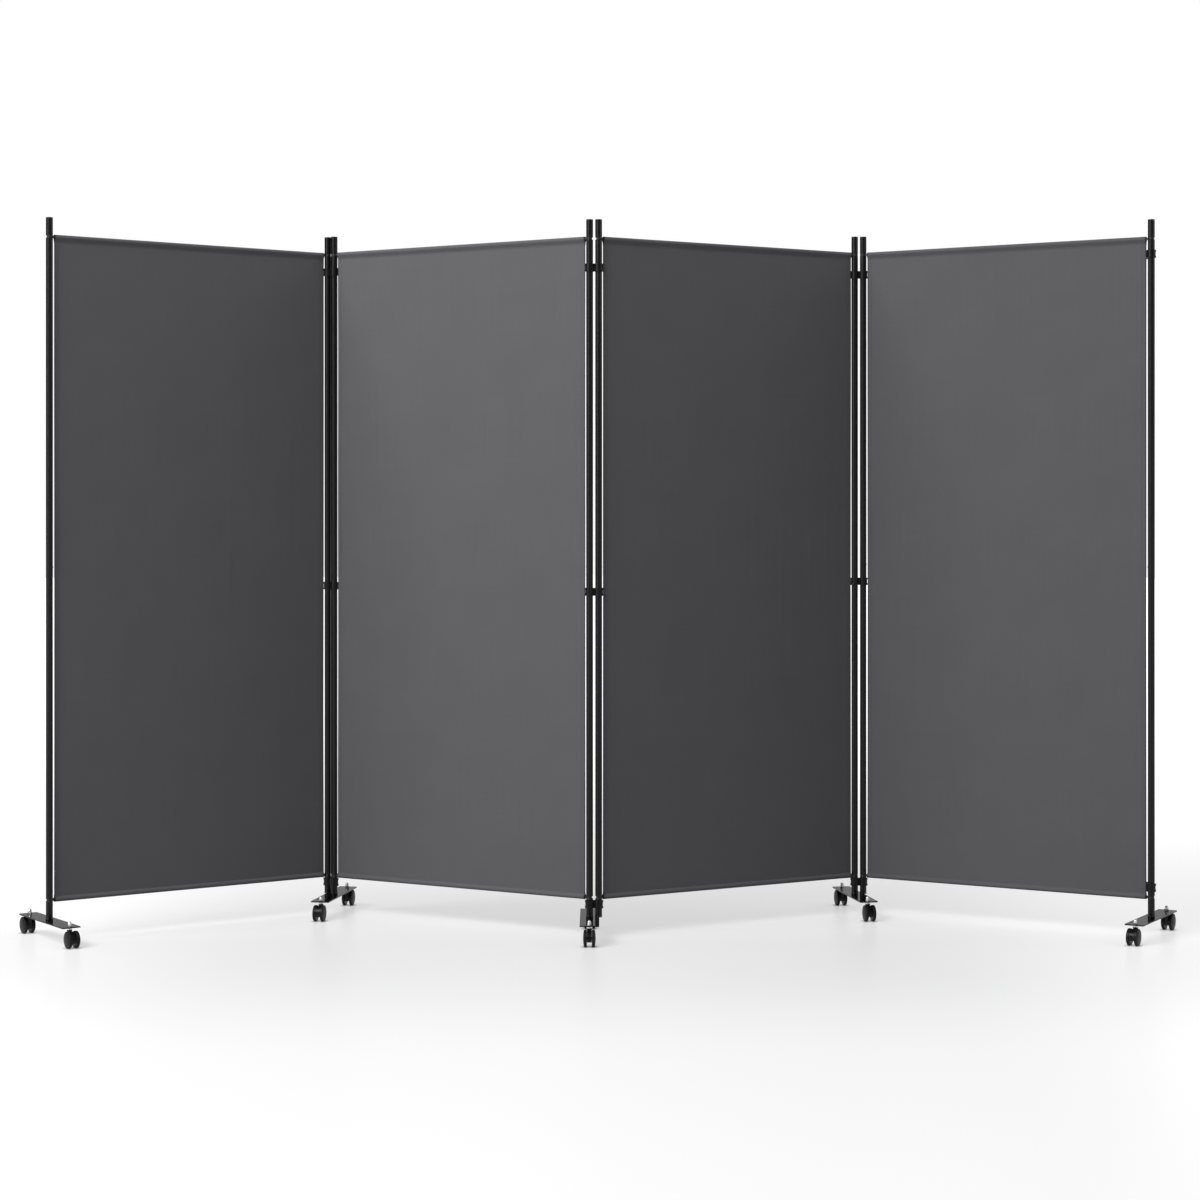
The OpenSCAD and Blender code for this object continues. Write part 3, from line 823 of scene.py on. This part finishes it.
    def shift(self, x: Array, z: Array) -> Array:
        """Works out how far the cloth stands off its flat plane, from its slack.

        It is a sum of broad seeded waves, finer upright ripples, and short puckers below the
        seams that fade within a few centimetres. All of them are nothing at the seams.

        Args:
            x: Distance from the left side edge.
            z: Height above the bases.

        Returns:
            The shift along Y.
        """
        top, low = self.seams
        u, v = x / self.width, self.climb(z)
        free = smooth_step(np.minimum(v, 1.0 - v), 0.0, self.still_share)
        broad = sum(
            a * np.sin(math.tau * f * u + p) * np.sin(math.tau * g * v + q)
            for a, f, g, p, q in self.waves
        )
        fine = sum(
            a * np.sin(math.tau * f * u + p + 1.6 * np.sin(3.0 * v + p))
            for a, f, p in self.ripples
        )
        from_seam = np.minimum(np.abs(top - z), np.abs(z - low))
        near = np.exp(-from_seam / self.pucker_reach)
        near = near * (1.0 - np.exp(-from_seam / self.pucker_from))
        gathers = near * (
            np.sin(math.tau * 21.0 * u + 3.0 * np.sin(7.0 * u + self.seed))
            + 0.7 * np.sin(math.tau * 47.0 * u + 2.0 * np.sin(11.0 * u))
        )
        middle = smooth_step(1.0 - np.abs(2 * v - 1.0), 0.0, 0.8)
        calm = self.seam_ripple + (1.0 - self.seam_ripple) * middle
        waves = self.slack * self.broad_share * broad * free + self.ripple * fine * calm * free
        return waves + self.pucker * gathers

    def bowed(self, x: Array, z: Array) -> Array:
        """Draws the free side edges in a little towards mid-height, as a parabola."""
        v, middle = np.clip(self.climb(z), 0.0, 1.0), self.width / 2
        return middle + (x - middle) * (1.0 - self.bow * 4.0 * v * (1.0 - v))

    def surface(self) -> tuple[Array, Array]:
        """Works out the cloth's middle surface: the path carried across the panel.

        Returns:
            A grid of points in the panel's axes, and the same grid of UV distances.
        """
        path, (x, depth, across) = self.path(), self.columns()
        rows, flat_x = path.line[:, 1:], x[None, :]
        inner = path.line[:, None, :] - path.out[:, None, :] * depth[None, :, None]
        stand_off = 4 * self.fold_radius * path.lift[:, None] * self.hem_zone(flat_x)
        y = inner[..., 0] + stand_off + path.free[:, None] * self.shift(flat_x, rows)
        bowed = self.bowed(flat_x, rows) + self.side_inset
        points = np.stack([bowed, y, inner[..., 1]], axis=-1)
        uv = np.stack(np.broadcast_arrays(across[None, :], path.along[:, None]), axis=-1)
        return points, uv

    def doubled(self) -> tuple[float, float]:
        """Works out where the upper flap lies behind the free sheet.

        Returns:
            Its start and end, as distances along the cloth.
        """
        path = self.path()
        seam = float(path.along[np.argmax(path.free) - 1])
        return seam, seam + self.top_flap

    def flat_size(self) -> tuple[float, float]:
        """Returns the width and length that the cloth was cut to, before it was sewn."""
        return float(self.columns()[2][-1]), float(self.path().along[-1])

    def seam_stitches(self) -> tuple[Array, Array]:
        """Works out the middles and directions of the stitches of every seam.

        Two rows close the pockets and two rows hold the side hems, each with its loops on
        the front face and again on the back.

        Returns:
            Middles and unit directions, one row each, in the panel's axes.
        """
        front, layer = self.face_y - self.thickness / 2, 2 * self.fold_radius
        middles, ways = [], []
        across = np.arange(self.stitch_margin, self.width - self.stitch_margin, self.stitch_pitch)
        back = 2 * layer * self.hem_zone(across) - front
        for z in (self.seams[0] - self.seam_gap, self.seams[1] + self.seam_gap):
            for y in (front, back):
                middles.append(np.stack(np.broadcast_arrays(across, y, z), axis=1))
                ways.append(np.tile([1.0, 0.0, 0.0], (len(across), 1)))
        highest, lowest = self.seams[0] - self.stitch_margin, self.seams[1] + self.stitch_margin
        up = np.arange(lowest, highest, self.stitch_pitch)
        for edge in (self.stitch_inset, self.width - self.stitch_inset):
            x = np.full_like(up, edge)
            lift = self.shift(x, up)
            for y in (front, front + layer + self.thickness):
                middles.append(np.stack([self.bowed(x, up), y + lift, up], axis=1))
                ways.append(np.tile([0.0, 0.0, 1.0], (len(up), 1)))
        middle = np.concatenate(middles)
        middle[:, 0] += self.side_inset
        return middle, np.concatenate(ways)

    def stitch_mesh(self) -> tuple[Array, Array]:
        """Works out the stitches as six-sided capsules, each a ring of points carried along.

        Returns:
            Points in the panel's axes, and four-sided faces.
        """
        middle, way = self.seam_stitches()
        side = np.cross(way, (0.0, 1.0, 0.0))
        out = np.cross(side, way)
        steps = np.array([-0.5, -0.3, 0.3, 0.5]) * self.stitch_length
        width = np.array([0.4, 1.0, 1.0, 0.4]) * self.thread_radius
        rings, sides = len(steps), 6
        turn = np.arange(sides)[:, None] * math.tau / sides
        ring = np.cos(turn) * side[:, None, :] + np.sin(turn) * out[:, None, :]
        points = (
            middle[:, None, None, :]
            + way[:, None, None, :] * steps[:, None, None]
            + ring[:, None, :, :] * width[:, None, None]
        )
        start_cap = np.array([[0, 1, 2, 3], [0, 3, 4, 5]])
        end_cap = start_cap[:, ::-1] + (rings - 1) * sides
        faces = np.concatenate(
            [grid_quads(rings, sides, wrap=True)[:, ::-1], start_cap, end_cap]
        )
        quads = faces + rings * sides * np.arange(len(middle))[:, None, None]
        return points.reshape(-1, 3), quads.reshape(-1, 4)

    def build(self, place: Place, paints: Paintbox) -> None:
        """Makes the cloth and its stitching, and puts them on the panel.

        Args:
            place: Where the panel stands.
            paints: The finishes.
        """
        body, rails = f"panel_{self.number}", f"panel_{self.number}_rails"
        points, uv = self.surface()
        rows, columns = points.shape[:2]
        cloth = mesh_piece(
            f"{body}_cloth", place.put(points).reshape(-1, 3), grid_quads(rows, columns)
        )
        set_uv(cloth, uv.reshape(-1, 2))
        paints.dress(cloth, Finish.CLOTH)
        wall = cloth.modifiers.new("thickness", "SOLIDIFY")
        wall.thickness, wall.offset = self.thickness, 0.0
        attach(cloth, body)
        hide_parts(f"{body}_fabric")
        log.info("%s: %d x %d points", cloth.name, rows, columns)

        stitch_points, stitch_quads = self.stitch_mesh()
        stitching = mesh_piece(f"{body}_stitching", place.put(stitch_points), stitch_quads)
        paints.dress(stitching, Finish.THREAD)
        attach(stitching, body)
        log.info("%s: %d faces", stitching.name, len(stitch_quads))


# ---- Casters ----


@dataclass
class TwinWheel:
    """The two wheels of a caster on their axle, turned about one line."""

    wheel_radius: float = 0.02125
    rim_inner: float = 0.00625
    rim_outer: float = 0.01375
    dome: float = 0.00225
    tread_round: float = 0.0012
    axle_radius: float = 0.0025
    grooves: tuple[tuple[float, float], ...] = ((0.0158, 0.0009), (0.0066, 0.0007))
    groove_depth: float = 0.00045
    inner_rings: tuple[float, float] = (0.014, 0.008)
    edge: float = 0.0002
    stem_out: float = 0.127
    trail: float = 0.015
    face_points: int = 60
    around: int = 96

    def outer_face(self, radius: Array) -> Array:
        """Works out how far the outer face stands out at a distance from the axle.

        It is a shallow round dome, less the grooves inside the rim and around the hub cap,
        each with a bell-shaped section.

        Args:
            radius: Distance from the axle's line.

        Returns:
            Distance from the middle of the caster.
        """
        rim = self.wheel_radius - self.tread_round
        ball = (rim * rim + self.dome * self.dome) / (2 * self.dome)
        dome = np.sqrt(ball * ball - radius * radius) - ball + self.dome
        cuts = np.zeros_like(radius)
        for middle, width in self.grooves:
            cuts = cuts + np.exp(-(((radius - middle) / (width / 2)) ** 2))
        return self.rim_outer + dome - self.groove_depth * cuts

    def profile(self) -> tuple[Array, Array, Array]:
        """Works out half the outline: outer face, round tread shoulders, inner face, axle.

        Returns:
            Radius, distance from the caster's middle, and 1 where the tread rolls.
        """
        rim = self.wheel_radius - self.tread_round
        face_r = np.concatenate([[self.edge], np.linspace(0.001, rim, self.face_points)])
        face_s = self.outer_face(face_r)
        turn = np.linspace(math.pi / 2, 0.0, 7)[1:]
        shoulder_r = rim + self.tread_round * np.cos(turn)
        shoulder_s = self.rim_outer - self.tread_round + self.tread_round * np.sin(turn)
        back_r = rim + self.tread_round * np.cos(turn[::-1])
        back_s = self.rim_inner + self.tread_round * (1.0 - np.sin(turn[::-1]))
        inner_r = np.array([rim, *self.inner_rings, self.axle_radius + self.edge, self.axle_radius])
        inner_s = np.array([self.rim_inner] * 4 + [self.rim_inner - self.edge])
        radius = np.concatenate([face_r, shoulder_r, back_r, inner_r])
        across = np.concatenate([face_s, shoulder_s, back_s, inner_s])
        rolls = smooth_step(radius, rim + 2 * self.edge, self.wheel_radius)
        return radius, across, rolls

    def build(self, base: int, front: bool, place: Place, paints: Paintbox) -> None:
        """Turns the outline about the axle and puts the wheels on their caster.

        A point is the outline's radius times (cos, sin) of the turn, at its distance along
        the axle, which lies across the base.

        Args:
            base: Number of the base.
            front: Whether it is the caster towards the camera.
            place: Where the base stands.
            paints: The finishes.
        """
        radius, across, rolls = self.profile()
        radius = np.concatenate([radius, radius[::-1]])
        across = np.concatenate([across, -across[::-1]])
        rolls = np.concatenate([rolls, rolls[::-1]])
        turn = np.arange(self.around) * math.tau / self.around
        side = -1.0 if front else 1.0
        x = side * (self.stem_out + self.trail) + radius[:, None] * np.cos(turn)[None, :]
        z = self.wheel_radius + radius[:, None] * np.sin(turn)[None, :]
        y = np.broadcast_to(across[:, None], x.shape)
        points = np.stack([x, y, z], axis=-1)
        end = "front" if front else "back"
        wheels = mesh_piece(
            f"caster_{base}_{end}_twin_wheel",
            place.put(points).reshape(-1, 3),
            grid_quads(len(radius), self.around, wrap=True)[:, ::-1],
        )
        tread = wheels.data.attributes.new("tread", "FLOAT", "POINT")
        tread.data.foreach_set("value", np.repeat(rolls, self.around).astype(np.float32))
        paints.dress(wheels, Finish.WHEEL)
        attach(wheels, f"wheels_{base}_{end}")
        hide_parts(f"caster_{base}_{end}_wheels")
        log.info("%s: %d faces", wheels.name, len(wheels.data.polygons))


# ---- Carried-over CAD nodes ----


@dataclass
class Hardware:
    """The tubes, rails, clips, plates, fasteners and housings, which keep their CAD shape."""

    finishes: tuple[tuple[str, Finish], ...] = (
        ("_tubes", Finish.TUBE),
        ("_rails", Finish.RAIL),
        ("_plugs", Finish.PLUG),
        ("clip", Finish.CLIP),
        ("_plate", Finish.PLATE),
        ("_fasteners", Finish.STEEL),
        ("_housing", Finish.HOUSING),
    )

    def build(self, nodes: dict[str, bpy.types.Object], paints: Paintbox) -> None:
        """Gives every CAD node that stays in view its finish.

        Args:
            nodes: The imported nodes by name.
            paints: The finishes.
        """
        for name in sorted(nodes):
            for word, finish in self.finishes:
                if word in name:
                    paints.dress(nodes[name], finish)
                    log.info("%s: %s", name, finish.value)


# ---- Studio ----


@dataclass
class Softbox:
    """A large soft lamp aimed at a point."""

    name: str
    at: Vec3
    aim: Vec3
    size: tuple[float, float]
    watts: float

    def build(self) -> None:
        """Makes the lamp, its -Z axis towards the point that it lights."""
        lamp = bpy.data.lights.new(self.name, "AREA")
        lamp.shape, lamp.size, lamp.size_y = "RECTANGLE", *self.size
        lamp.energy = self.watts
        holder = bpy.data.objects.new(self.name, lamp)
        holder.location = self.at
        way = Vector(self.aim) - Vector(self.at)
        holder.rotation_euler = way.to_track_quat("-Z", "Y").to_euler()
        bpy.context.scene.collection.objects.link(holder)
        log.info("%s: %.0f W", self.name, self.watts)


@dataclass(frozen=True)
class Fade:
    """A soft rise of the floor's brightness along a direction, between two distances."""

    way: tuple[float, float]
    start: float
    end: float
    more: float


@dataclass
class Studio:
    """A white studio: pale floor, soft lamps, and a camera where the photograph's was."""

    from_middle_base: Vec3 = (0.0265, -6.4569, 1.068)
    lens_mm: float = 76.0
    sensor_mm: float = 36.0
    frame_shift: float = -0.068
    far_clip: float = 200.0
    ambient: float = 0.66
    ambient_pull: Vec3 = (0.0, 0.35, 0.0)
    gloss_low: float = 0.06
    backdrop_cosines: tuple[float, float] = (0.93, 0.965)
    backdrop_height: float = 0.265
    floor_radius: float = 40.0
    floor_rings: tuple[float, float, float] = (0.0001, 2.0, 8.0)
    floor_sides: int = 64
    floor_colour: Rgb = (0.32, 0.32, 0.32)
    floor_roughness: float = 0.32
    floor_specular: float = 0.28
    floor_lift: float = 0.438
    # Painted contact shadow: ambient occlusion within contact_reach, raised to contact_power, dims
    # the floor's glow
    contact_reach: float = 0.011
    contact_power: float = 2.0
    # Painted light: the near fades lift the floor where the object's shade ends, and the far ones
    # fade it into the white backdrop
    floor_fades: tuple[Fade, ...] = (
        Fade((0.0, -1.0), 0.5, 1.7, 0.09),
        Fade((0.0, 1.0), -0.35, 0.1, 0.06),
        Fade((0.0, 1.0), -0.3, 5.0, 0.24),
        Fade((0.0, 1.0), 2.0, 8.0, 0.16),
        Fade((-1.0, 0.0), 0.8, 1.5, 0.08),
        Fade((1.0, 0.0), 0.7, 1.5, 0.13),
        Fade((0.0, -1.0), 2.6, 7.0, 0.4),
        Fade((-1.0, 0.0), 2.2, 7.0, 0.35),
        Fade((1.0, 0.0), 2.2, 7.0, 0.3),
    )
    lamps: tuple[Softbox, ...] = (
        Softbox("key_softbox", (-4.2, -3.6, 5.2), (-0.1, 0.0, 1.1), (6.0, 2.8), 678.0),
        Softbox("strip_softbox", (-4.6, -4.2, 1.8), (0.0, 0.0, 1.0), (0.7, 3.0), 46.0),
        Softbox("side_softbox", (6.0, -0.8, 3.4), (0.3, 0.0, 1.0), (4.0, 3.0), 84.0),
    )

    def build_world(self) -> None:
        """Makes the surroundings: white to the eye, and a softer light for the object.

        As light, its strength is ambient + ambient_pull . direction. In gloss it is the white
        backdrop behind the object, within backdrop_cosines of +Y and fading out up to
        backdrop_height, and the dark of the room everywhere else.
        """
        world = bpy.data.worlds.new("white_studio")
        bpy.context.scene.world = world
        world.use_nodes = True
        world.cycles.sampling_method = "NONE"
        sky = Nodes(world.node_tree)
        way = sky.node("TexCoord").outputs["Generated"]
        parts = sky.node("SeparateXYZ", Vector=way).outputs
        low_down = sky.ramp(parts["Z"], 0.0, self.backdrop_height, 1.0, 0.0)
        behind = sky.ramp(parts["Y"], *self.backdrop_cosines, 0.0, 1.0)
        gloss = sky.mixed(sky.mixed(low_down, 0.0, behind), self.gloss_low, 1.0)
        light = sky.maths("ADD", sky.along(way, self.ambient_pull), self.ambient)
        scattered = sky.mixed(sky.seen_directly(), light, gloss)
        camera_ray = sky.node("LightPath").outputs["Is Camera Ray"]
        strength = sky.mixed(camera_ray, scattered, 1.0)
        glow = sky.node("Background", Color=(1.0, 1.0, 1.0, 1.0), Strength=strength)
        sky.node("OutputWorld", Surface=glow.outputs[0])

    def build_floor(self) -> None:
        """Makes the floor: a wide disc with a soft sheen, pale under the object.

        To the eye it glows lighter away from the object, by the sum of floor_fades: near the
        object that is painted light where the object's shade on the floor ends, and further
        out it fades into the white of the backdrop. Ambient occlusion dims that glow where
        something touches the floor, which is a painted contact shadow.
        """
        turn = np.arange(self.floor_sides) * math.tau / self.floor_sides
        reach = np.array([*self.floor_rings, self.floor_radius])[:, None]
        x, y = reach * np.cos(turn), reach * np.sin(turn)
        points = np.stack([x, y, np.zeros_like(x)], axis=-1).reshape(-1, 3)
        quads = grid_quads(len(reach), self.floor_sides, wrap=True)
        floor = mesh_piece("studio_floor", points, quads)
        mix = Recipe("pale_studio_floor")
        level: object = self.floor_lift
        for fade in self.floor_fades:
            far = mix.along(mix.place(), (*fade.way, 0.0))
            level = mix.maths("ADD", mix.ramp(far, fade.start, fade.end, 0.0, fade.more), level)
        # Painted contact shadow: the glow dims where something touches the floor
        near = mix.node("AmbientOcclusion", {"samples": 8}, Distance=self.contact_reach)
        painted_contact_shade = mix.maths("POWER", near.outputs["AO"], self.contact_power)
        level = mix.maths("MULTIPLY", level, painted_contact_shade)
        glow = mix.node("Emission", Strength=mix.maths("MULTIPLY", mix.seen_directly(), level))
        both = mix.node("AddShader")
        for socket, shader in zip(both.inputs, (mix.shader, glow)):
            mix.feed(socket, shader.outputs[0])
        mix.fill(mix.output, {"Surface": both.outputs[0]})
        colour, gloss = (*self.floor_colour, 1.0), self.floor_specular
        paint = mix.finish(colour, self.floor_roughness, Specular_IOR_Level=gloss)
        floor.data.materials.append(paint)
        log.info("studio_floor: %.0f m across", 2 * self.floor_radius)

    def build_camera(self, middle_base: Place) -> None:
        """Makes the camera: level, square on, with the frame shifted down as in the photograph.

        Args:
            middle_base: Place of the third base, which the camera's place is measured from.
        """
        camera = bpy.data.cameras.new("photo_camera")
        camera.lens, camera.sensor_width = self.lens_mm, self.sensor_mm
        camera.shift_y = self.frame_shift
        camera.clip_end = self.far_clip
        holder = bpy.data.objects.new("photo_camera", camera)
        right, back, up = self.from_middle_base
        holder.location = (middle_base.x + right, middle_base.y + back, up)
        holder.rotation_euler = (math.pi / 2, 0.0, 0.0)
        bpy.context.scene.collection.objects.link(holder)
        bpy.context.scene.camera = holder

    def build(self, middle_base: Place) -> None:
        """Builds the camera, surroundings, floor and lamps.

        Args:
            middle_base: Place of the third base.
        """
        bpy.context.scene.view_settings.view_transform = "Standard"
        self.build_camera(middle_base)
        self.build_world()
        self.build_floor()
        for lamp in self.lamps:
            lamp.build()


def main() -> None:
    """Builds the studio and dresses the divider, one sub-assembly after another."""
    logging.basicConfig(level=logging.INFO, format="%(message)s")
    plan = Plan()
    Studio().build(plan.base(3))
    sample = ClothPanel(0, seed=0)
    paints = Paintbox(sample.flat_size()[0], sample.hem_width, sample.doubled())
    Hardware().build(frame["nodes"], paints)
    for number in range(1, 5):
        ClothPanel(number, seed=11 * number).build(plan.panel(number), paints)
    wheel = TwinWheel()
    for base in range(1, 6):
        for front in (True, False):
            wheel.build(base, front, plan.base(base), paints)


if __name__ == "__main__":
    main()
